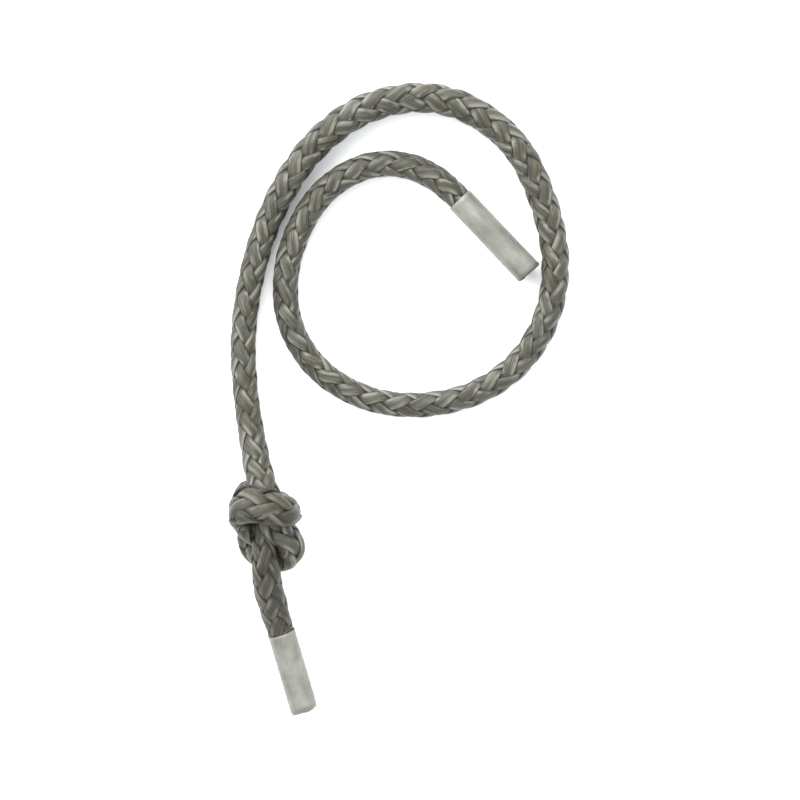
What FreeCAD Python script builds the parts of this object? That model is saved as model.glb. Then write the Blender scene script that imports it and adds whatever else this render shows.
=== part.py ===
"""A short twelve-strand hollow-braid cord: open curl, overhand stopper knot, taped ends.

The cord lies on the XY plane, +Z up, +Y along the longest side, with the origin under the
middle of its box. The braid is one rope, cut here into the stretch that lies in the curl,
the stretch in the knot and the short tail. Each is a plain tube. A thin tape sleeve is
wound on each cut end to keep the strands from fraying. All lengths are millimetres.
"""
import FreeCAD, Part
import math
import os

# Driving dimensions
ROPE_DIAMETER = 6.0          # the relaxed hollow braid
KNOT_DIAMETER = 4.0          # the braid packed down where the knot grips itself
TAPED_DIAMETER = 5.4         # the braid drawn down under its tape
TAPE_WALL = 0.25             # two turns of thin tape
CURL_TAPE_LENGTH = 21.9      # tape on the end that lies inside the curl
TAIL_TAPE_LENGTH = 18.0      # tape on the tail past the knot
CURL_BARE_RUN = 5.6          # straight rope from the curl tape's edge to the first bend's corner
TAIL_BARE_RUN = 4.8          # the same at the tail, seen from above
MOUTH_GAP = 1.156            # in X, from the curl tape's mouth to the side of the outer run
END_RECESS = 0.4             # the rope stops this far inside its tape
ARC_SHARE = 0.45             # how much of the shorter run an arc takes on each side
KNOT_EXIT = 0.53             # where in the knot's last run the tail regains its full size

LYING = ROPE_DIAMETER / 2    # centreline height where the rope lies on the surface
TAPE_LYING = TAPED_DIAMETER / 2 + TAPE_WALL
KNOT_LOW = KNOT_DIAMETER / 2

OUTER_RUN_X = 34.5           # the outer run's widest corner, which passes the curl tape's mouth

# The route, end to end. Third value: height of the centreline above where it would lie.
CURL = [
    (1.4, 50.8, 0.0),
    (-7.2, 50.4, 0.0),
    (-15.6, 45.6, 0.0),
    (-21.2, 37.6, 0.0),
    (-24.5, 27.2, 0.0),
    (-23.7, 15.6, 0.0),
    (-16.8, 5.2, 0.0),
    (-4.8, -1.0, 0.0),
    (9.5, -1.3, 0.0),
    (22.3, 3.8, 0.0),
    (31.0, 13.8, 0.0),
    (OUTER_RUN_X, 27.5, 0.0),
    (31.9, 41.8, 0.0),
    (25.0, 56.4, 0.0),
    (10.8, 65.2, 0.0),
    (-5.0, 64.2, 0.0),
    (-17.6, 55.8, 0.0),
    (-26.3, 43.0, 0.0),
    (-31.4, 28.4, 0.0),
    (-33.6, 13.0, 0.0),
    (-32.6, -0.5, 0.6),
]
CURL_END = (28.2, 27.1, 0.0)     # a place on the curl tape's axis, near its mouth
CURL_HEADING = (-18.9, 20.0)     # which way the rope leaves the curl tape

KNOT = [
    (-30.7, -11.0, 3.4),
    (-29.4, -17.0, 6.4),
    (-27.0, -21.8, 8.8),
    (-25.2, -26.4, 9.0),
    (-22.6, -31.0, 7.6),
    (-24.4, -35.0, 4.6),
    (-30.2, -34.2, 3.2),
    (-32.8, -29.6, 1.6),
    (-31.2, -24.4, 4.1),
    (-26.0, -21.4, 4.2),
    (-21.6, -22.0, 7.4),
    (-22.6, -23.2, 12.6),
    (-27.6, -23.6, 14.4),
    (-32.8, -22.8, 14.6),
    (-35.0, -23.2, 11.6),
    (-34.2, -26.6, 8.6),
    (-30.6, -29.4, 6.4),
    (-26.8, -28.2, 3.4),
    (-27.4, -24.8, 0.0),
    (-31.0, -20.4, 0.2),
    (-33.4, -19.0, 5.2),
    (-31.0, -22.8, 9.6),
    (-29.0, -28.0, 10.8),
    (-28.4, -33.6, 10.2),
]

TAIL = [
    (-27.8, -39.6, 6.6),
    (-26.3, -45.2, 3.4),
]
TAIL_HEADING = (6.3, -21.9)      # which way the tail runs to its tip


def at_height(points, lying):
    """Route points as vectors, lifted to the height that their stretch lies at."""
    return [FreeCAD.Vector(x, y, lying + lift) for x, y, lift in points]


def corner(before, at, after):
    """The tangent arc that rounds one route point, as large as its two runs allow."""
    back = before - at
    ahead = after - at
    reach = ARC_SHARE * min(back.Length, ahead.Length)
    back.normalize()
    ahead.normalize()
    turn = math.pi - back.getAngle(ahead)
    radius = reach / math.tan(turn / 2)
    centre = at + (back + ahead).normalize() * math.hypot(radius, reach)
    middle = centre + (at - centre).normalize() * radius
    return {
        "start": at + back * reach,
        "middle": middle,
        "end": at + ahead * reach,
        "radius": radius,
        "turn": math.degrees(turn),
    }


def path(start, corners, end):
    """Straight runs joined by tangent arcs, from start round the corners to end."""
    edges = []
    here = start
    for bend in corners:
        if (bend["start"] - here).dot(bend["middle"] - bend["start"]) <= 0:
            raise ValueError(f"a run doubles back before {bend['start']}")
        edges.append(Part.LineSegment(here, bend["start"]).toShape())
        edges.append(Part.Arc(bend["start"], bend["middle"], bend["end"]).toShape())
        here = bend["end"]
    edges.append(Part.LineSegment(here, end).toShape())
    return Part.Wire(edges)


def tube(wire, diameter):
    """A round tube along a path, with its volume checked against section times length."""
    first = wire.Edges[0]
    direction = first.tangentAt(first.FirstParameter)
    ring = Part.Wire([Part.makeCircle(diameter / 2, first.Vertexes[0].Point, direction)])
    solid = wire.makePipeShell([ring], True, False)
    expected = math.pi * diameter**2 / 4 * wire.Length
    print(f"  length {wire.Length:.1f}, volume {solid.Volume:.0f} of {expected:.0f}")
    if abs(solid.Volume - expected) > 0.02 * expected:
        raise ValueError("a tube's volume is not its section times its length")
    return solid


def taped_core(end, inward, tape_length):
    """The drawn-down rope under a tape, stopping a little inside the tape's mouth."""
    core_length = tape_length - END_RECESS
    return Part.makeCylinder(TAPED_DIAMETER / 2, core_length, end + inward * END_RECESS, inward)


def tape_sleeve(end, inward, tape_length):
    """The tape wound round the end of the rope."""
    outer = Part.makeCylinder(TAPED_DIAMETER / 2 + TAPE_WALL, tape_length, end, inward)
    inner = Part.makeCylinder(TAPED_DIAMETER / 2, tape_length, end, inward)
    return outer.cut(inner)


def unit(a, b):
    """Unit vector from a to b."""
    return (b - a).normalize()


def save(name, shape):
    """Write one solid, and say what it is."""
    shape = shape.removeSplitter()
    solid = shape.Solids[0]
    print(f"{name}: {len(shape.Solids)} solid, valid {solid.isValid()}, {solid.Volume:.0f} mm3")
    solid.exportStep(f"parts/{name}.step")


os.makedirs("parts", exist_ok=True)

knot = at_height(KNOT, KNOT_LOW)
tail = at_height(TAIL, LYING)

# Rope is straight under its tape, so a longer tape moves the corner or the tip beyond it.
# Its mouth stands clear of the outer run.
curl_end = at_height([CURL_END], LYING)[0]
heading = FreeCAD.Vector(*CURL_HEADING, 0).normalize()
mouth_reach = (TAPED_DIAMETER / 2 + TAPE_WALL) * heading.y
mouth_x = OUTER_RUN_X - ROPE_DIAMETER / 2 - mouth_reach - MOUTH_GAP
curl_end += heading * ((mouth_x - curl_end.x) / heading.x)
curl = [curl_end + heading * (CURL_TAPE_LENGTH + CURL_BARE_RUN)] + at_height(CURL, LYING)
heading = FreeCAD.Vector(*TAIL_HEADING, 0).normalize()
tail_end = tail[-1] + heading * (TAIL_TAPE_LENGTH + TAIL_BARE_RUN)
tail_end.z = TAPE_LYING
route = [curl_end] + curl + knot + tail + [tail_end]

bends = [corner(*route[i - 1:i + 2]) for i in range(1, len(route) - 1)]
for point, bend, after in zip(route[1:], bends, route[2:]):
    print(f"({point.x:.1f}, {point.y:.1f}, {point.z:.1f}) turn {bend['turn']:.0f}"
          f" radius {bend['radius']:.1f} run {(after - point).Length:.1f}")

# The knot's tube starts in the first run of its list and ends in its last run.
knot_first = len(curl)
knot_last = knot_first + len(knot) - 1
knot_start = (knot[0] + knot[1]) / 2
knot_end = knot[-1] + (tail[0] - knot[-1]) * KNOT_EXIT

curl_inward = unit(curl_end, curl[0])
tail_inward = unit(tail_end, tail[-1])
curl_tape_edge = curl_end + curl_inward * CURL_TAPE_LENGTH
tail_tape_edge = tail_end + tail_inward * TAIL_TAPE_LENGTH

curl_path = path(curl_tape_edge, bends[:knot_first + 1], knot_start)
knot_path = path(knot_start, bends[knot_first + 1:knot_last + 1], knot_end)
tail_path = path(knot_end, bends[knot_last + 1:], tail_tape_edge)

standing = tube(curl_path, ROPE_DIAMETER).fuse(taped_core(curl_end, curl_inward, CURL_TAPE_LENGTH))
save("rope_standing_part", standing)
save("overhand_knot", tube(knot_path, KNOT_DIAMETER))
tail_rope = tube(tail_path, ROPE_DIAMETER).fuse(taped_core(tail_end, tail_inward, TAIL_TAPE_LENGTH))
save("rope_tail", tail_rope)
save("curl_end_tape", tape_sleeve(curl_end, curl_inward, CURL_TAPE_LENGTH))
save("tail_end_tape", tape_sleeve(tail_end, tail_inward, TAIL_TAPE_LENGTH))

rope_length = (curl_path.Length + knot_path.Length + tail_path.Length
               + CURL_TAPE_LENGTH + TAIL_TAPE_LENGTH - 2 * END_RECESS)
print(f"rope length {rope_length:.0f} mm, tail axis {-tail_inward}, tail end {tail_end}")
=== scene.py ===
# %% [markdown]
# # A knotted braided cord
# A short length of hollow braid lies in an open curl on a plain surface. Near its tail it is
# tied in an overhand knot, a stopper that keeps it from running out of a hole. Both cut ends
# are wrapped in white tape, so that the strands stay together. The frame brings in the plain
# CAD solids. This lesson lays a real braid, strand by strand, along the same line.

# %% Open the frame
import math
import bmesh
import bpy
import numpy as np
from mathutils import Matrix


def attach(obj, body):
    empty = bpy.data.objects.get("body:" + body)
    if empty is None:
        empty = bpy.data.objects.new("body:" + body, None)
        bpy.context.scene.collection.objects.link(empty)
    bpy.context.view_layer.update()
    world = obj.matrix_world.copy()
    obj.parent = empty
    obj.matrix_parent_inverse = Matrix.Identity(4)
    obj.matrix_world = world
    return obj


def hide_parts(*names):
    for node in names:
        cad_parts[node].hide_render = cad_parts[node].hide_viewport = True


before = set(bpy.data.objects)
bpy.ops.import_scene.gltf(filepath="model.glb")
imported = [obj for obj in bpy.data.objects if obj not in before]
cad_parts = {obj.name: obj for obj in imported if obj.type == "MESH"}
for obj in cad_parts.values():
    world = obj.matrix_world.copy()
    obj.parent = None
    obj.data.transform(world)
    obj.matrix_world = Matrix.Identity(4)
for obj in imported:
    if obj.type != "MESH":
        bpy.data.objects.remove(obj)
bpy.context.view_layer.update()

# %% [markdown]
# ## The camera
# The cord is seen from straight above, as a thing laid on a copy stand. A camera with no
# turn looks down already, with +Y up in the picture, so it only needs a height and a lens.
# A long lens from 0.6 m keeps the curl's circles round right to the edge.

# %% Camera above the curl
camera_data = bpy.data.cameras.new("copy_stand_camera")
camera_data.sensor_width = 36.0
camera_data.lens = 125.6
camera_data.clip_start = 0.01
camera = bpy.data.objects.new("copy_stand_camera", camera_data)
camera.location = (0.0004, -0.0001, 0.602)
bpy.context.scene.collection.objects.link(camera)
bpy.context.scene.camera = camera
print("camera height", camera.location.z, "m, lens", camera_data.lens, "mm")

# %% [markdown]
# ## The line of the rope
# A rope is one flexible line with a fixed length, so its middle line is drawn first and all
# else is built round it. A NURBS curve is pulled towards its control points without going
# through them. That gives the easy, even bends of real rope, which a curve forced through
# every point doesn't. The list runs from the taped end inside the curl, round the curl, down
# the left side, through the knot and out to the taped tail.

# %% Control points, in metres
CURL = [
    (0.0282, 0.0271, 0.0030),
    (0.0154, 0.0406, 0.0030),
    (0.0093, 0.0471, 0.0030),
    (0.0014, 0.0508, 0.0030),
    (-0.0072, 0.0504, 0.0030),
    (-0.0156, 0.0456, 0.0030),
    (-0.0212, 0.0376, 0.0030),
    (-0.0245, 0.0272, 0.0030),
    (-0.0237, 0.0156, 0.0030),
    (-0.0168, 0.0052, 0.0030),
    (-0.0048, -0.0010, 0.0030),
    (0.0095, -0.0013, 0.0030),
    (0.0223, 0.0038, 0.0030),
    (0.0310, 0.0138, 0.0030),
    (0.0345, 0.0275, 0.0030),
    (0.0319, 0.0418, 0.0030),
    (0.0250, 0.0564, 0.0030),
    (0.0108, 0.0652, 0.0030),
    (-0.0050, 0.0642, 0.0030),
    (-0.0176, 0.0558, 0.0030),
    (-0.0263, 0.0430, 0.0030),
    (-0.0314, 0.0284, 0.0030),
    (-0.0336, 0.0130, 0.0030),
    (-0.0326, -0.0005, 0.0036),
]
KNOT = [
    (-0.0307, -0.0110, 0.0054),
    (-0.0294, -0.0170, 0.0084),
    (-0.0274, -0.0214, 0.0118),
    (-0.0263, -0.0264, 0.0134),
    (-0.0222, -0.0305, 0.0112),
    (-0.0241, -0.0345, 0.0072),
    (-0.0298, -0.0340, 0.0050),
    (-0.0320, -0.0296, 0.0035),
    (-0.0312, -0.0244, 0.0061),
    (-0.0260, -0.0214, 0.0062),
    (-0.0230, -0.0226, 0.0092),
    (-0.0236, -0.0234, 0.0146),
    (-0.0278, -0.0224, 0.0166),
    (-0.0324, -0.0218, 0.0162),
    (-0.0344, -0.0234, 0.0132),
    (-0.0328, -0.0262, 0.0104),
    (-0.0302, -0.0294, 0.0080),
    (-0.0268, -0.0282, 0.0054),
    (-0.0274, -0.0248, 0.0022),
    (-0.0308, -0.0206, 0.0026),
    (-0.0332, -0.0190, 0.0072),
    (-0.0312, -0.0228, 0.0102),
    (-0.0292, -0.0280, 0.0106),
    (-0.0281, -0.0336, 0.0120),
]
TAIL = [
    (-0.0278, -0.0396, 0.0094),
    (-0.0263, -0.0452, 0.0064),
    (-0.0247, -0.0512, 0.0054),
    (-0.0200, -0.0671, 0.00295),
]
ROUTE = CURL + KNOT + TAIL

# %% One NURBS spline through the whole rope
line_data = bpy.data.curves.new("rope_line", "CURVE")
line_data.dimensions = "3D"
line_data.resolution_u = 24
spline = line_data.splines.new("NURBS")
spline.points.add(len(ROUTE) - 1)
for point, place in zip(spline.points, ROUTE):
    point.co = (*place, 1.0)
spline.order_u = 3
spline.use_endpoint_u = True
line = bpy.data.objects.new("rope_line", line_data)
bpy.context.scene.collection.objects.link(line)
line_mesh = bpy.data.meshes.new_from_object(line)
drawn = np.array([vertex.co[:] for vertex in line_mesh.vertices])
gone = np.concatenate([[0], np.cumsum(np.linalg.norm(np.diff(drawn, axis=0), axis=1))])
ROPE_LENGTH = float(gone[-1])
bpy.data.objects.remove(line)
print(f"the line is {ROPE_LENGTH * 1000:.1f} mm long")

# %% [markdown]
# ## A frame that travels along the line
# Strands wind round the line, so at every half millimetre the line needs two directions at right
# angles to it. They are carried along from one step to the next and turned only as far as the line
# itself turns, so that the braid doesn't spin. Then a listed roll turns the whole braid slowly,
# the way that a rope twists a little as it is laid down.

# %% Even steps and carried directions
ROPE_DIAMETER = 0.006
STEP = 0.0005
distance = np.linspace(0, ROPE_LENGTH, round(ROPE_LENGTH / STEP) + 1)
centre = np.stack([np.interp(distance, gone, drawn[:, k]) for k in range(3)], axis=1)


def unit(rows):
    """Every row at length one."""
    return rows / np.linalg.norm(rows, axis=1, keepdims=True)


def smooth(rows, reach):
    """Rows averaged with their neighbours, with a bell of that many steps."""
    steps = np.arange(-3 * reach, 3 * reach + 1)
    bell = np.exp(-0.5 * (steps / reach) ** 2)
    bell /= bell.sum()
    ends = np.concatenate([np.repeat(rows[:1], 3 * reach, 0), rows,
                           np.repeat(rows[-1:], 3 * reach, 0)])
    return np.stack([np.convolve(ends[:, k], bell, "valid") for k in range(rows.shape[1])], 1)


forward = unit(smooth(unit(np.gradient(centre, axis=0)), 2))
up = np.zeros_like(forward)
up[0] = (0, 0, 1)
for i in range(1, len(up)):
    carried = up[i - 1] - forward[i] * np.dot(up[i - 1], forward[i])
    up[i] = carried / np.linalg.norm(carried)
side = np.cross(forward, up)
print(len(centre), "steps")

# %% How the braid rolls and swells along the rope
# Distance from the taped end in the curl, in metres, then degrees of roll.
ROLL = [(0.0000, 48), (0.0861, 46), (0.1211, 31), (0.1661, 15), (0.1791, 10), (0.1931, -15),
        (0.2111, -40), (0.2271, -46), (0.2711, -69), (0.3191, -69), (0.4211, -40),
        (0.4711, -40)]
# Distance, then width as a share of the rope's diameter.
WIDTH = [(0.0000, 0.86), (0.0205, 0.86), (0.0240, 0.95), (0.0311, 0.97), (0.0611, 0.97),
         (0.0950, 0.92), (0.1311, 0.92), (0.1711, 1.03), (0.2361, 1.12), (0.2661, 0.95),
         (0.3011, 0.93), (0.3191, 1.03), (0.3361, 0.90), (0.4261, 0.90), (0.4371, 1.12),
         (0.4456, 0.98), (0.4486, 0.86), (0.4811, 0.86)]


def along(table):
    """A given table read at every step, without sharp corners."""
    places, values = zip(*table)
    return smooth(np.interp(distance, places, values)[:, None], 4)[:, 0]


roll = np.radians(along(ROLL))[:, None]
width = along(WIDTH)[:, None]
up, side = up * np.cos(roll) + side * np.sin(roll), side * np.cos(roll) - up * np.sin(roll)

# %% [markdown]
# ## The squeeze inside the knot
# A hollow braid has nothing in it, so it flattens wherever it is pressed. Inside the knot
# every pass is pressed against the knot's middle: thinner towards the middle, and wider across.
# Here the round section is stretched that way, step by step, and fades back to round outside.
# The passes still cut into each other inside this knot. A stricter model would move its
# points apart until every pass has room.

# %% Flattened sections
KNOT_MIDDLE = np.array([-0.0282, -0.0270, 0.0098])
# Distance along the rope, then how thin towards the middle and how wide across it.
PRESSED = [(0.3151, 1.00, 1.00), (0.3231, 0.80, 1.12), (0.3301, 0.78, 1.30),
           (0.3381, 1.30, 1.12), (0.3441, 0.86, 1.12), (0.3531, 0.78, 1.24),
           (0.3621, 0.72, 1.15), (0.3681, 0.78, 1.24), (0.3731, 0.66, 1.66),
           (0.3821, 0.62, 1.78), (0.3861, 0.72, 1.40), (0.3941, 0.72, 1.22),
           (0.4031, 0.72, 1.20), (0.4131, 0.76, 1.15), (0.4231, 0.72, 1.18),
           (0.4311, 0.86, 1.06), (0.4381, 1.00, 1.00)]

outward = centre - KNOT_MIDDLE
outward -= forward * np.sum(outward * forward, axis=1, keepdims=True)
outward = smooth(outward, 4)
outward -= forward * np.sum(outward * forward, axis=1, keepdims=True)
outward = unit(outward)
sideways = np.cross(forward, outward)
thin = along([(place, share) for place, share, _ in PRESSED])[:, None]
wide = along([(place, share) for place, _, share in PRESSED])[:, None]


def stretched(rows, across_thin, across_wide):
    """Rows scaled by one amount along outward and by another along sideways."""
    return (outward * np.sum(rows * outward, axis=1, keepdims=True) * across_thin
            + sideways * np.sum(rows * sideways, axis=1, keepdims=True) * across_wide)


ring_up = stretched(up, thin * width, wide * width)
ring_side = stretched(side, thin * width, wide * width)
face_up = stretched(up, 1 / thin, 1 / wide)
face_side = stretched(side, 1 / thin, 1 / wide)
fullness = np.clip(width * np.sqrt((thin ** 2 + wide ** 2) / 2), 0.7, 1.25)
print(f"flattest {thin.min():.2f}, widest {wide.max():.2f}")

# A slack stretch is thicker or thinner than 6 mm, so its line rides a little higher or lower.
LIFTS_OFF, LIFT_FADE = 0.0046, 0.0010   # centreline height where the rope leaves the surface
CURL_STRETCH = 0.31                     # the knot begins about here
OUTERMOST = 0.00308                     # from the line to the highest strand, at full width
lying = np.clip((LIFTS_OFF - centre[:, 2]) / LIFT_FADE, 0, 1) * (distance < CURL_STRETCH)
rise = lying * (OUTERMOST * width[:, 0] - ROPE_DIAMETER / 2)
centre[:, 2] += smooth(rise[:, None], 6)[:, 0]

# %% The line as a mesh that carries its directions
END_RECESS = 0.0016
kept = (distance > END_RECESS) & (distance < ROPE_LENGTH - END_RECESS)
chain = bpy.data.meshes.new("rope_chain")
chain.from_pydata(centre[kept].tolist(), [(i, i + 1) for i in range(kept.sum() - 1)], [])
for name, rows in (("ring_up", ring_up), ("ring_side", ring_side),
                   ("face_up", face_up), ("face_side", face_side)):
    attribute = chain.attributes.new(name, "FLOAT_VECTOR", "POINT")
    attribute.data.foreach_set("vector", rows[kept].astype(np.float32).ravel())
for name, row in (("distance", distance), ("fullness", fullness[:, 0])):
    chain.attributes.new(name, "FLOAT", "POINT").data.foreach_set(
        "value", row[kept].astype(np.float32))
print("chain carries", [a.name for a in chain.attributes if a.name != "position"])

# %% [markdown]
# ## Small helpers for node trees
# Node trees written out link by link are hard to read. Three helpers make a calculation read
# like a sum: each adds one node, wires or sets its inputs, and hands back its result.

# %% Node helpers
def feed(tree, value, socket):
    """Link a socket, or set a plain value."""
    if isinstance(value, bpy.types.NodeSocket):
        tree.links.new(value, socket)
    else:
        socket.default_value = value


def add(tree, kind, inputs=None, **settings):
    """Add a node, with its settings and its inputs by name."""
    node = tree.nodes.new(kind)
    for name, value in settings.items():
        setattr(node, name, value)
    for name, value in (inputs or {}).items():
        feed(tree, value, node.inputs[name])
    return node


def calc(tree, operation, *values):
    """One number worked out from others."""
    node = tree.nodes.new("ShaderNodeMath")
    node.operation = operation
    for value, socket in zip(values, node.inputs):
        feed(tree, value, socket)
    return node.outputs[0]


def vector(tree, operation, first, second):
    """One vector worked out from another and a second vector or number."""
    node = tree.nodes.new("ShaderNodeVectorMath")
    node.operation = operation
    feed(tree, first, node.inputs[0])
    if operation == "SCALE":
        feed(tree, second, node.inputs["Scale"])
    elif second is not None:
        feed(tree, second, node.inputs[1])
    return node.outputs[0]


# %% [markdown]
# ## The braid
# A twelve-strand hollow braid is six strands winding one way and six winding the other. Each
# strand goes over two and under two, which draws columns of V shapes along the rope. It
# could be faked with a bump pattern on a tube, but the outline of a real braid is bumpy and
# its grooves are deep. So every strand is its own ribbon. Geometry Nodes suit this: the tree
# copies the line once per strand, moves each copy out on its own spiral, lifts it over and
# dips it under, and sweeps a curved lens section along it.

# %% The strand tree
WAVE_SHARPNESS = 0.6         # how flat the tops of the over and under wave are
CROWN_POWER = 0.64           # under 1 makes a strand's top fuller than an ellipse
HUG = -150.0                 # how fast a strand's edges bend down round the rope, per metre
TURN_DRIFT = 0.22            # radians that a strand may wander round the rope
LIFT_DRIFT = 0.00022         # metres that it may wander outward


def braid_tree():
    """A tree that winds one family of strands round a chain."""
    tree = bpy.data.node_groups.new("braid", "GeometryNodeTree")
    face = tree.interface
    face.new_socket("Chain", in_out="INPUT", socket_type="NodeSocketGeometry")
    for name, value in (("Way", 1.0), ("Pitch", 0.032), ("Middle radius", 0.00226),
                        ("Lift", 0.00034), ("Strand width", 0.0028),
                        ("Strand thickness", 0.00076), ("Unevenness", 1.0), ("Seed", 3.0)):
        face.new_socket(name, in_out="INPUT", socket_type="NodeSocketFloat").default_value = value
    face.new_socket("Strands", in_out="INPUT", socket_type="NodeSocketInt").default_value = 6
    face.new_socket("Material", in_out="INPUT", socket_type="NodeSocketMaterial")
    face.new_socket("Braid", in_out="OUTPUT", socket_type="NodeSocketGeometry")
    given = add(tree, "NodeGroupInput").outputs

    def read(name, kind="FLOAT_VECTOR"):
        return add(tree, "GeometryNodeInputNamedAttribute", {"Name": name},
                   data_type=kind).outputs["Attribute"]

    curve = add(tree, "GeometryNodeMeshToCurve", {"Mesh": given["Chain"]})
    copies = add(tree, "GeometryNodeDuplicateElements",
                 {"Geometry": curve.outputs["Curve"], "Amount": given["Strands"]},
                 domain="SPLINE")
    strand = copies.outputs["Duplicate Index"]
    travelled = read("distance", "FLOAT")

    # Noise that drifts along each strand, different on every one.
    strand_row = calc(tree, "MULTIPLY_ADD", strand, 7.31, calc(tree, "MULTIPLY", given["Way"], 40))
    drift = add(tree, "ShaderNodeTexNoise", {
        "Vector": add(tree, "ShaderNodeCombineXYZ", {
            "X": calc(tree, "MULTIPLY", travelled, 170), "Y": strand_row,
            "Z": given["Seed"]}).outputs[0], "Scale": 1.0, "Detail": 1.0})
    wander = add(tree, "FunctionNodeSeparateColor", {"Color": drift.outputs["Color"]}).outputs
    uneven = [calc(tree, "MULTIPLY", calc(tree, "SUBTRACT", w, 0.5), given["Unevenness"])
              for w in wander[:3]]

    # The angle round the rope: a share of a full turn, plus the spiral.
    spiral = calc(tree, "MULTIPLY", calc(tree, "DIVIDE", travelled, given["Pitch"]), given["Way"])
    turn = calc(tree, "ADD", calc(tree, "DIVIDE", strand, given["Strands"]), spiral)
    angle = calc(tree, "MULTIPLY_ADD", turn, 2 * math.pi,
                 calc(tree, "MULTIPLY", uneven[0], TURN_DRIFT))

    # Over two and under two: a wave in the angle, squared off so crossings lie flat.
    wave = calc(tree, "COSINE", calc(tree, "MULTIPLY_ADD", angle, 3.0, -math.pi / 4))
    wave = calc(tree, "MULTIPLY", wave, given["Way"])
    over = calc(tree, "DIVIDE", calc(tree, "TANH", calc(tree, "MULTIPLY", wave, WAVE_SHARPNESS)),
                math.tanh(WAVE_SHARPNESS))
    fullness = read("fullness", "FLOAT")
    lift = calc(tree, "MULTIPLY_ADD", over, given["Lift"],
                calc(tree, "MULTIPLY", uneven[1], LIFT_DRIFT))
    lift = calc(tree, "MULTIPLY", lift, fullness)

    cosine, sine = calc(tree, "COSINE", angle), calc(tree, "SINE", angle)
    reach = vector(tree, "ADD", vector(tree, "SCALE", read("ring_up"), cosine),
                   vector(tree, "SCALE", read("ring_side"), sine))
    outward = vector(tree, "ADD", vector(tree, "SCALE", read("face_up"), cosine),
                     vector(tree, "SCALE", read("face_side"), sine))

    outward = vector(tree, "NORMALIZE", outward, None)
    offset = vector(tree, "ADD", vector(tree, "SCALE", reach, given["Middle radius"]),
                    vector(tree, "SCALE", outward, lift))

    marked = copies.outputs["Geometry"]
    for name, value in (("over", over), ("strand", strand_row), ("plump", uneven[2])):
        marked = add(tree, "GeometryNodeStoreNamedAttribute",
                     {"Geometry": marked, "Name": name, "Value": value},
                     data_type="FLOAT", domain="POINT").outputs[0]
    outward_kept = add(tree, "GeometryNodeStoreNamedAttribute",
                       {"Geometry": marked, "Name": "outward", "Value": outward},
                       data_type="FLOAT_VECTOR", domain="POINT").outputs[0]
    wound = add(tree, "GeometryNodeSetPosition",
                {"Geometry": outward_kept, "Offset": offset})
    turned = add(tree, "GeometryNodeSetCurveNormal",
                 {"Curve": wound.outputs[0],
                  "Normal": read("outward")}, mode="FREE")

    # The section: a lens with a crowned top, bent to hug the rope. X points outward.
    ring = add(tree, "GeometryNodeCurvePrimitiveCircle", {"Resolution": 14, "Radius": 1.0})
    place = add(tree, "ShaderNodeSeparateXYZ",
                {"Vector": add(tree, "GeometryNodeInputPosition").outputs[0]}).outputs
    half = calc(tree, "MULTIPLY", given["Strand width"], 0.5)
    flat = calc(tree, "MULTIPLY", place[1], half)
    crown = calc(tree, "MULTIPLY", calc(tree, "SIGN", place[0]),
                 calc(tree, "POWER", calc(tree, "ABSOLUTE", place[0]), CROWN_POWER))
    crown = calc(tree, "MULTIPLY", crown, calc(tree, "MULTIPLY", given["Strand thickness"], 0.5))
    hug = calc(tree, "MULTIPLY", calc(tree, "MULTIPLY", flat, flat), HUG)
    marked_ring = add(tree, "GeometryNodeStoreNamedAttribute",
                      {"Geometry": ring.outputs["Curve"], "Name": "across", "Value": place[1]},
                      data_type="FLOAT", domain="POINT")
    lens = add(tree, "GeometryNodeSetPosition",
               {"Geometry": marked_ring.outputs[0],
                "Position": add(tree, "ShaderNodeCombineXYZ",
                                {"X": calc(tree, "ADD", crown, hug), "Y": flat}).outputs[0]})

    # A strand is fuller where it floats on top and slimmer where it dips.
    float_share = calc(tree, "MULTIPLY_ADD", read("over", "FLOAT"), 0.09, 0.99)
    swell = calc(tree, "MULTIPLY", calc(tree, "MULTIPLY", read("fullness", "FLOAT"), float_share),
                 calc(tree, "MULTIPLY_ADD", read("plump", "FLOAT"), 0.14, 1.0))
    swept = add(tree, "GeometryNodeCurveToMesh",
                {"Curve": turned.outputs["Curve"], "Profile Curve": lens.outputs[0],
                 "Scale": swell, "Fill Caps": True})
    # A map of every strand: across it from 0 to 1, and along it in centimetres.
    mapped = add(tree, "GeometryNodeStoreNamedAttribute",
                 {"Geometry": swept.outputs["Mesh"], "Name": "strand_map",
                  "Value": add(tree, "ShaderNodeCombineXYZ", {
                      "X": calc(tree, "MULTIPLY_ADD", read("across", "FLOAT"), 0.5, 0.5),
                      "Y": calc(tree, "MULTIPLY_ADD", read("distance", "FLOAT"), 100.0,
                                calc(tree, "MULTIPLY", read("strand", "FLOAT"), 3.0)),
                  }).outputs[0]}, data_type="FLOAT2", domain="CORNER")
    rounded = add(tree, "GeometryNodeSetShadeSmooth", {"Geometry": mapped.outputs[0]})
    real = add(tree, "GeometryNodeRealizeInstances", {"Geometry": rounded.outputs[0]})
    coloured = add(tree, "GeometryNodeSetMaterial",
                   {"Geometry": real.outputs[0], "Material": given["Material"]})
    tree.links.new(coloured.outputs[0], add(tree, "NodeGroupOutput").inputs["Braid"])
    return tree


braid = braid_tree()
print("braid tree:", len(braid.nodes), "nodes")

# %% [markdown]
# ## Fibre and dirt
# Every strand is thousands of filaments that run along it. They show as fine streaks in its
# colour and its gloss. The streak pattern is one shader group: noise stretched along the
# strand's own map, so it follows the spiral. The tape uses the same group, coarser, for the
# faint smears along it.

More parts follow.
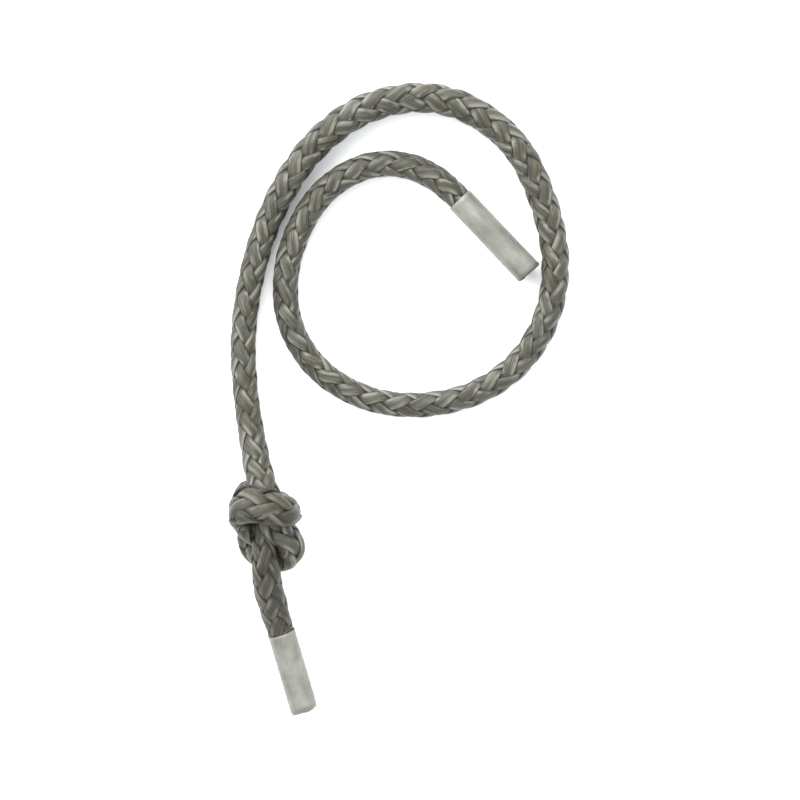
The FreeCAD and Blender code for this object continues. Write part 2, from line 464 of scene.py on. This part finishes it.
# %% The streak group
def streak_group():
    """Long soft streaks along a map, from 0 to 1."""
    group = bpy.data.node_groups.new("streaks", "ShaderNodeTree")
    face = group.interface
    face.new_socket("Map", in_out="INPUT", socket_type="NodeSocketVector")
    face.new_socket("Fineness", in_out="INPUT", socket_type="NodeSocketFloat")
    face.new_socket("Length", in_out="INPUT", socket_type="NodeSocketFloat")
    face.new_socket("Contrast", in_out="INPUT", socket_type="NodeSocketFloat")
    face.new_socket("Streak", in_out="OUTPUT", socket_type="NodeSocketFloat")
    given = add(group, "NodeGroupInput").outputs
    place = add(group, "ShaderNodeSeparateXYZ", {"Vector": given["Map"]}).outputs
    stretched_map = add(group, "ShaderNodeCombineXYZ", {
        "X": calc(group, "MULTIPLY", place[0], given["Fineness"]),
        "Y": calc(group, "DIVIDE", place[1], given["Length"]),
        "Z": place[2]})
    noise = add(group, "ShaderNodeTexNoise",
                {"Vector": stretched_map.outputs[0], "Scale": 1.0, "Detail": 3.0,
                 "Roughness": 0.6})
    centred = calc(group, "SUBTRACT", noise.outputs[0], 0.5)
    streak = calc(group, "MULTIPLY_ADD", centred, given["Contrast"], 0.5)
    kept = add(group, "ShaderNodeClamp", {"Value": streak})
    group.links.new(kept.outputs[0], add(group, "NodeGroupOutput").inputs["Streak"])
    return group


streaks = streak_group()

# %% Material helpers
def start_material(name, roughness):
    """A material with its Principled shader, ready for colour and bump."""
    material = bpy.data.materials.new(name)
    material.use_nodes = True
    tree = material.node_tree
    tree.nodes.clear()
    shader = add(tree, "ShaderNodeBsdfPrincipled", {"Roughness": roughness})
    output = add(tree, "ShaderNodeOutputMaterial")
    tree.links.new(shader.outputs[0], output.inputs[0])
    return material, tree, shader


def streak_node(tree, mapping, fineness, length, contrast):
    """The streak group placed in a material."""
    node = add(tree, "ShaderNodeGroup", node_tree=streaks)
    for name, value in (("Map", mapping), ("Fineness", fineness), ("Length", length),
                        ("Contrast", contrast)):
        feed(tree, value, node.inputs[name])
    return node.outputs[0]


def blend(tree, share, first, second, way="MIX"):
    """Two colours mixed by a share."""
    node = add(tree, "ShaderNodeMix", data_type="RGBA", blend_type=way)
    for value, socket in ((share, node.inputs[0]), (first, node.inputs[6]),
                          (second, node.inputs[7])):
        feed(tree, value, socket)
    return node.outputs[2]


def band(tree, value, low, high):
    """A value spread out so that low becomes 0 and high becomes 1."""
    node = add(tree, "ShaderNodeMapRange", {"Value": value, "From Min": low, "From Max": high},
               interpolation_type="SMOOTHSTEP")
    return node.outputs[0]


def bumped(tree, shader, height, distance_m, strength):
    """Small relief from a height, wired to the shader's normal."""
    node = add(tree, "ShaderNodeBump", {"Height": height, "Distance": distance_m,
                                        "Strength": strength})
    tree.links.new(node.outputs[0], shader.inputs["Normal"])


# %% [markdown]
# ## The rope's finish
# Grey high-strength fibre with a little coating: a warm olive grey where light falls on it, with
# painted shade that takes it almost to black down in the grooves and where a strand dips under,
# and painted highlights in broken silvery patches towards the edges of the floats. The colour is
# built from what the braid knows about itself: how far across the strand a point is, and whether
# the strand is on top or dipping under. The lights of this scene are very bright, so the base
# colours are darker than the real fibre's.

# %% Rope material
def rope_material():
    """Grey-olive filament yarn."""
    material, tree, shader = start_material("grey_braid_yarn", 0.5)
    strand_map = add(tree, "ShaderNodeUVMap", uv_map="strand_map").outputs[0]
    across = add(tree, "ShaderNodeAttribute", attribute_name="across").outputs["Fac"]
    over = add(tree, "ShaderNodeAttribute", attribute_name="over").outputs["Fac"]
    strand = add(tree, "ShaderNodeAttribute", attribute_name="strand").outputs["Fac"]
    travelled = add(tree, "ShaderNodeAttribute", attribute_name="distance").outputs["Fac"]
    fine = streak_node(tree, strand_map, 14.0, 1.3, 3.2)
    broad = streak_node(tree, strand_map, 3.0, 0.5, 3.0)
    yarn = blend(tree, fine, (0.008, 0.0075, 0.0045, 1), (0.088, 0.084, 0.058, 1))
    yarn = blend(tree, calc(tree, "MULTIPLY", broad, 0.6), yarn, (0.018, 0.0165, 0.0105, 1))
    tone = add(tree, "ShaderNodeTexNoise", {"Vector": add(tree, "ShaderNodeCombineXYZ", {
        "X": calc(tree, "MULTIPLY", strand, 1.7), "Y": calc(tree, "MULTIPLY", travelled, 90)
        }).outputs[0], "Scale": 1.0})
    yarn = blend(tree, band(tree, tone.outputs[0], 0.45, 0.65), yarn,
                 (0.78, 0.74, 0.66, 1), "MULTIPLY")
    # Painted highlight: broken silvery patches towards each edge of the floats, lightened into the
    # colour where light would glint.
    inset = calc(tree, "ABSOLUTE", across)
    painted_edge_highlight = calc(tree, "MULTIPLY", band(tree, inset, 0.05, 0.80), band(tree, inset, 0.97, 0.82))
    painted_edge_highlight = calc(tree, "MULTIPLY", painted_edge_highlight, band(tree, over, 0.0, 0.7))
    highlight_breakup = streak_node(tree, strand_map, 1.4, 0.55, 3.2)
    painted_edge_highlight = calc(tree, "MULTIPLY", painted_edge_highlight, band(tree, highlight_breakup, 0.30, 0.80))
    yarn = blend(tree, calc(tree, "MULTIPLY", painted_edge_highlight, 0.75), yarn, (0.175, 0.173, 0.145, 1))
    # The knot and the tail are soiled by handling.
    handled = calc(tree, "MULTIPLY", band(tree, travelled, 0.342, 0.362),
                   band(tree, travelled, 0.466, 0.440))
    yarn = blend(tree, handled, yarn, (0.60, 0.57, 0.50, 1), "MULTIPLY")
    # Painted shade: the strand's edges, down in the grooves between strands, darkened almost to
    # black.
    groove_shade = band(tree, inset, 0.74, 0.96)
    yarn = blend(tree, calc(tree, "MULTIPLY", groove_shade, 0.88), yarn, (0.006, 0.006, 0.004, 1))
    # Painted shade: darker where a strand dips under its neighbours.
    dip_shade = band(tree, over, 0.55, -0.35)
    yarn = blend(tree, calc(tree, "MULTIPLY", dip_shade, 0.92), yarn, (0.006, 0.006, 0.004, 1))
    feed(tree, yarn, shader.inputs["Base Color"])
    shader.inputs["Specular IOR Level"].default_value = 0.32
    feed(tree, calc(tree, "MULTIPLY_ADD", fine, -0.20, 0.50), shader.inputs["Roughness"])
    bumped(tree, shader, fine, 0.00012, 0.5)
    return material


yarn_finish = rope_material()

# %% The two families of strands
def socket_id(tree, name):
    """The identifier that a modifier knows a named input by."""
    return next(item.identifier for item in tree.interface.items_tree
                if item.item_type == "SOCKET" and item.in_out == "INPUT" and item.name == name)


def flat_mesh(holder, name):
    """The evaluated shape as a plain mesh object at the origin."""
    graph = bpy.context.evaluated_depsgraph_get()
    mesh = bpy.data.meshes.new_from_object(holder.evaluated_get(graph))
    bpy.data.objects.remove(holder)
    mesh.name = name
    piece = bpy.data.objects.new(name, mesh)
    bpy.context.scene.collection.objects.link(piece)
    return piece


def wind(name, **values):
    """Run the braid tree on the chain and keep the result."""
    holder = bpy.data.objects.new(name, chain.copy())
    bpy.context.scene.collection.objects.link(holder)
    modifier = holder.modifiers.new("braid", "NODES")
    modifier.node_group = braid
    for key, value in values.items():
        modifier[socket_id(braid, key.replace("_", " "))] = value
    modifier[socket_id(braid, "Material")] = yarn_finish
    piece = flat_mesh(holder, name)
    triangles = sum(len(face.vertices) - 2 for face in piece.data.polygons)
    print(f"{name}: {triangles} triangles")
    return piece


strands_right = wind("strands_laid_right", Way=1.0, Seed=3.0)
strands_left = wind("strands_laid_left", Way=-1.0, Seed=8.0)

# %% [markdown]
# ## The tape
# Thin white tape is wound about twice round each end. Wound by hand it never lands square: its
# edges step past each other, and its loose end makes a faint ridge. A sleeve with a straight
# edge would look moulded, so this is a strip on a slow spiral, each turn one thickness further
# out and shifted a little along the rope.

# %% Wind a strip of tape
TAPE_THICK, TAPE_GAP = 0.00008, 0.00002
STEPS_PER_TURN, STEPS_ALONG = 44, 26
RIB_HEIGHT, SOFT_HEIGHT = 0.00002, 0.00001


def wound_tape(name, end, toward, length, radius, turns, shift, start_angle, slant, tilt,
               material):
    """A thin strip wound round an axis, closed on all sides."""
    end, toward = np.array(end), np.array(toward) / np.linalg.norm(toward)
    first = np.cross(toward, (0, 0, 1))
    first /= np.linalg.norm(first)
    second = np.cross(toward, first)
    steps_round = round(turns * STEPS_PER_TURN)
    generator = np.random.default_rng(len(name))
    lumps = generator.uniform(-1, 1, (5, 3))
    work = bmesh.new()
    layers = []
    for level in (0.0, TAPE_THICK):
        grid = []
        for i in range(steps_round + 1):
            angle = start_angle + i / steps_round * turns * 2 * math.pi
            out = first * math.cos(angle) + second * math.sin(angle)
            turned = (angle - start_angle) / (2 * math.pi)
            askew = slant * math.cos(angle) - tilt * math.sin(angle)
            row = []
            for j in range(STEPS_ALONG + 1):
                share = j / STEPS_ALONG
                here = share * length
                # Ribs where strands press through, and a soft unevenness.
                rib = math.cos(6 * angle - here * 2600) * RIB_HEIGHT
                soft = sum(a * math.sin(3 * b * angle + here * 700 * c + 9 * a)
                           for a, b, c in lumps.round(1)) * SOFT_HEIGHT
                wound = radius + (TAPE_THICK + TAPE_GAP) * turned
                place = (end + toward * (here + shift * turned + askew * (1 - share))
                         + out * (wound + level + rib + soft))
                row.append(work.verts.new(place))
            grid.append(row)
        layers.append(grid)
    inner, outer = layers
    for i in range(steps_round):
        for j in range(STEPS_ALONG):
            work.faces.new((outer[i][j], outer[i][j + 1], outer[i + 1][j + 1], outer[i + 1][j]))
            work.faces.new((inner[i][j], inner[i + 1][j], inner[i + 1][j + 1], inner[i][j + 1]))
        for j, k in ((0, 0), (STEPS_ALONG, 1)):
            rim = (outer[i][j], outer[i + 1][j], inner[i + 1][j], inner[i][j])
            work.faces.new(rim if k == 0 else rim[::-1])
    for i in (0, steps_round):
        for j in range(STEPS_ALONG):
            work.faces.new((outer[i][j], outer[i][j + 1], inner[i][j + 1], inner[i][j]))
    bmesh.ops.recalc_face_normals(work, faces=work.faces)
    mesh = bpy.data.meshes.new(name)
    uv = work.loops.layers.uv.new("tape_map")
    where = {vertex: (i / STEPS_PER_TURN, j / STEPS_ALONG)
             for grid in layers for i, row in enumerate(grid) for j, vertex in enumerate(row)}
    for face in work.faces:
        face.smooth = True
        for loop in face.loops:
            loop[uv].uv = where[loop.vert]
    work.to_mesh(mesh)
    work.free()
    mesh.materials.append(material)
    piece = bpy.data.objects.new(name, mesh)
    bpy.context.scene.collection.objects.link(piece)
    print(f"{name}: {len(mesh.polygons)} faces")
    return piece


# %% Tape material
def tape_material():
    """Off-white film, slightly glossy, a little soiled."""
    material, tree, shader = start_material("white_film_tape", 0.38)
    tape_map = add(tree, "ShaderNodeUVMap", uv_map="tape_map").outputs[0]
    smear = streak_node(tree, tape_map, 5.0, 0.35, 1.6)
    grain = streak_node(tree, tape_map, 40.0, 0.04, 1.8)
    film = blend(tree, smear, (0.062, 0.063, 0.051, 1), (0.225, 0.227, 0.194, 1))
    film = blend(tree, calc(tree, "MULTIPLY", grain, 0.25), film, (0.090, 0.089, 0.075, 1))
    feed(tree, film, shader.inputs["Base Color"])
    feed(tree, calc(tree, "MULTIPLY_ADD", smear, 0.16, 0.34), shader.inputs["Roughness"])
    bumped(tree, shader, smear, 0.0002, 0.35)
    return material


film_finish = tape_material()
CURL_TIP, CURL_TOWARD = (0.0282, 0.0271, 0.0030), (-0.6868, 0.7268, 0.0)
TAIL_TIP, TAIL_TOWARD = (-0.0200, -0.0671, 0.00295), (-0.27334, 0.95020, 0.14969)
TAPE_RADIUS, TAPE_TURNS = 0.00270, 2.1
curl_tape = wound_tape("curl_end_tape_wound", CURL_TIP, CURL_TOWARD, length=0.0215,
                       radius=TAPE_RADIUS, turns=TAPE_TURNS, shift=0.0002, start_angle=2.0,
                       slant=-0.0002, tilt=0.0002, material=film_finish)
tail_tape = wound_tape("tail_end_tape_wound", TAIL_TIP, TAIL_TOWARD, length=0.0172,
                       radius=TAPE_RADIUS, turns=TAPE_TURNS, shift=0.0006, start_angle=0.6,
                       slant=0.0002, tilt=0.0003, material=film_finish)

# %% [markdown]
# ## The cut ends
# Where the rope was cut, heat fused the fibre into a hard dark lump just inside the tape. A
# disc would be too clean. A low dome with a few dents, turned as one surface and closed, reads
# as melted fibre.

# %% Melted tips
def tip_material():
    """Fused fibre, dark and a little shiny."""
    material, tree, shader = start_material("fused_fibre", 0.45)
    place = add(tree, "ShaderNodeTexCoord").outputs["Object"]
    mottle = add(tree, "ShaderNodeTexNoise", {"Vector": place, "Scale": 900.0, "Detail": 3.0})
    feed(tree, blend(tree, mottle.outputs[0], (0.02, 0.02, 0.018, 1), (0.16, 0.155, 0.14, 1)),
         shader.inputs["Base Color"])
    bumped(tree, shader, mottle.outputs[0], 0.0003, 0.8)
    return material


def melted_tip(name, end, toward, radius, depth, material):
    """A dented dome set a little inside the tape's mouth."""
    end, toward = np.array(end), np.array(toward) / np.linalg.norm(toward)
    first = np.cross(toward, (0, 0, 1))
    first /= np.linalg.norm(first)
    second = np.cross(toward, first)
    profile = [(0.00, -0.25), (0.30, -0.20), (0.55, -0.08), (0.75, 0.02), (0.92, 0.12),
               (1.00, 0.45), (1.00, 2.2), (0.60, 2.5), (0.0, 2.6)]
    count, dent_depth = 28, 0.00008
    work = bmesh.new()
    rings = []
    for share, inward in profile:
        if share == 0:
            rings.append([work.verts.new(end + toward * (depth + inward * 0.001))])
            continue
        ring = []
        for k in range(count):
            angle = 2 * math.pi * k / count
            dent = dent_depth * math.sin(3 * angle + share * 9) * (inward < 0.3)
            ring.append(work.verts.new(
                end + toward * (depth + inward * 0.001 + dent)
                + (first * math.cos(angle) + second * math.sin(angle)) * radius * share))
        rings.append(ring)
    for low, high in zip(rings, rings[1:]):
        for k in range(count):
            after = (k + 1) % count
            if len(low) == 1:
                work.faces.new((low[0], high[after], high[k]))
            elif len(high) == 1:
                work.faces.new((low[k], low[after], high[0]))
            else:
                work.faces.new((low[k], low[after], high[after], high[k]))
    bmesh.ops.recalc_face_normals(work, faces=work.faces)
    for face in work.faces:
        face.smooth = True
    mesh = bpy.data.meshes.new(name)
    work.to_mesh(mesh)
    work.free()
    mesh.materials.append(material)
    piece = bpy.data.objects.new(name, mesh)
    bpy.context.scene.collection.objects.link(piece)
    print(f"{name}: {len(mesh.polygons)} faces")
    return piece


fused = tip_material()
TIP_RADIUS, TIP_DEPTH = 0.00262, 0.0004
curl_tip = melted_tip("curl_end_melted_tip", CURL_TIP, CURL_TOWARD, TIP_RADIUS, TIP_DEPTH, fused)
tail_tip = melted_tip("tail_end_melted_tip", TAIL_TIP, TAIL_TOWARD, TIP_RADIUS, TIP_DEPTH, fused)

# %% [markdown]
# ## Floor and light
# A plain pale floor and three large soft lights, as on a product table. The main one hangs
# above the far side and a little left, so each strand gets a bright upper edge and a darker
# lower one, and the shadows stay faint.

# %% The floor
floor_mesh = bpy.data.meshes.new("floor")
floor_mesh.from_pydata([(-3, -3, 0), (3, -3, 0), (3, 3, 0), (-3, 3, 0)], [], [(0, 1, 2, 3)])
floor = bpy.data.objects.new("floor", floor_mesh)
bpy.context.scene.collection.objects.link(floor)
paper, paper_tree, paper_shader = start_material("pale_paper", 0.9)
paper_shader.inputs["Base Color"].default_value = (0.90, 0.90, 0.885, 1)
floor_mesh.materials.append(paper)
lowest = min(v.co.z for piece in (strands_right, strands_left, curl_tape, tail_tape)
             for v in piece.data.vertices)
print(f"lowest point of the cord {lowest * 1000:.2f} mm")

# %% Lights
def softbox(name, place, size, power, colour=(1, 1, 1)):
    """A square light aimed at the middle of the curl."""
    data = bpy.data.lights.new(name, "AREA")
    data.size = size
    data.energy = power
    data.color = colour
    lamp = bpy.data.objects.new(name, data)
    lamp.location = place
    away = np.array(place) / np.linalg.norm(place)
    lamp.rotation_euler = (math.acos(away[2]), 0, math.atan2(away[1], away[0]) + math.pi / 2)
    bpy.context.scene.collection.objects.link(lamp)
    return lamp


softbox("far_softbox", (-0.25, 0.85, 0.62), 1.1, 27.0)
softbox("near_softbox", (0.5, -0.7, 0.9), 1.1, 4.5, (0.90, 0.95, 1.0))
softbox("left_softbox", (-0.9, 0.1, 0.8), 1.0, 7.0)
world = bpy.data.worlds.new("studio")
world.use_nodes = True
world.node_tree.nodes["Background"].inputs["Color"].default_value = (0.95, 0.97, 1.0, 1)
world.node_tree.nodes["Background"].inputs["Strength"].default_value = 1.6
bpy.context.scene.world = world
bpy.context.scene.view_settings.view_transform = "Standard"

# %% [markdown]
# ## What stands for what
# The frame needs to know which CAD solids each piece replaces and what each piece rides on. Every
# piece, the strands, the tapes and the tips, rides on the root, and the CAD solids of the rope and
# the tapes are hidden.

ROPE_NODES = ("rope_standing_part", "overhand_knot", "rope_tail")
for piece in (strands_right, strands_left, curl_tape, tail_tape, curl_tip, tail_tip):
    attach(piece, "root")
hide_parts(*ROPE_NODES)
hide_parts(*ROPE_NODES)
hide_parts("curl_end_tape")
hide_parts("tail_end_tape")
